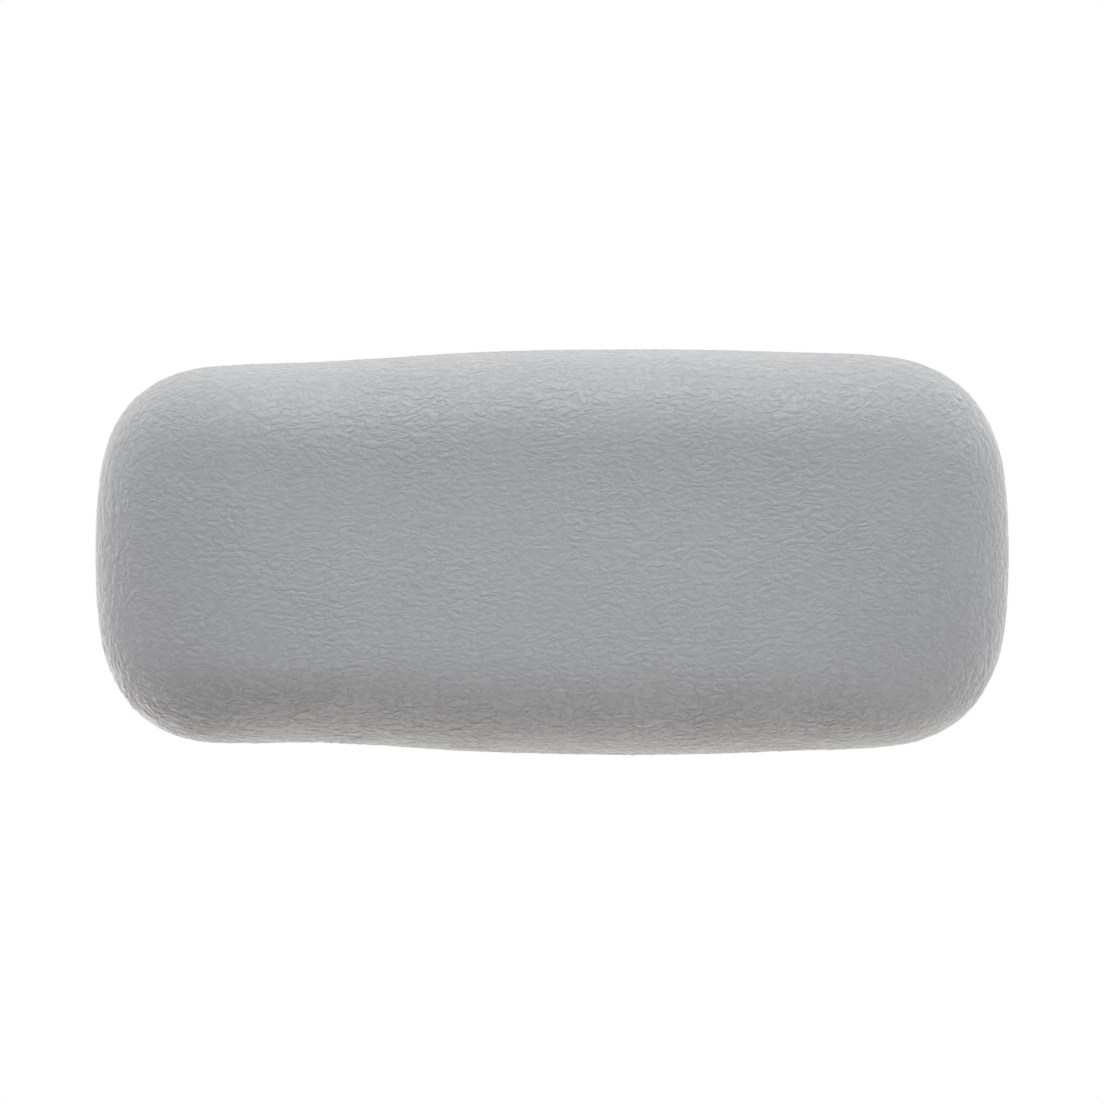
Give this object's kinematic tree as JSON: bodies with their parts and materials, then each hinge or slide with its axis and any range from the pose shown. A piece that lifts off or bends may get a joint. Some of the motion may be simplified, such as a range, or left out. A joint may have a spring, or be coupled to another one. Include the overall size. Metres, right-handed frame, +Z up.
{
  "type": "hot tub headrest",
  "caption": "Rounded grey spa pillow with a leather-grained moulded skin over foam, on a rigid back plate with push-fit snap pins that hold it on a hot tub wall.",
  "frame": {"origin": "centre of the flat back face that rests on the tub wall", "axes": "+Z up as hung on the wall, +X to the right as seen from the front, +Y out of the back along the snap pins, so the cushioned front faces -Y"},
  "size_m": [0.267, 0.07, 0.1187],
  "materials": {
    "grained_vinyl": "matt grey, moulded leather grain",
    "foam": "fine closed-cell foam",
    "plate_abs": "fine spark-eroded texture",
    "socket_acetal": "satin",
    "pin_nylon": "natural, satin",
    "nitrile": "matt",
    "screw_steel": "bright stainless"
  },
  "bodies": {
    "headrest": {"cover_skin": "grained_vinyl", "foam_core": "foam", "back_plate": "plate_abs", "pin_socket_left": "socket_acetal", "pin_socket_right": "socket_acetal", "socket_screw_left_upper": "screw_steel", "socket_screw_left_lower": "screw_steel", "socket_screw_right_upper": "screw_steel", "socket_screw_right_lower": "screw_steel"},
    "left_pin": {"snap_pin_left": "pin_nylon", "pin_washer_left": "nitrile", "pin_oring_left": "nitrile"},
    "right_pin": {"snap_pin_right": "pin_nylon", "pin_washer_right": "nitrile", "pin_oring_right": "nitrile"}
  },
  "joints": [
    {"name": "left_pin_pull", "type": "slide", "parent": "headrest", "child": "left_pin", "axis": [0, 1, 0], "range_m": [0, 0.02]},
    {"name": "right_pin_pull", "type": "slide", "parent": "headrest", "child": "right_pin", "axis": [0, 1, 0], "range_m": [0, 0.02]}
  ]
}
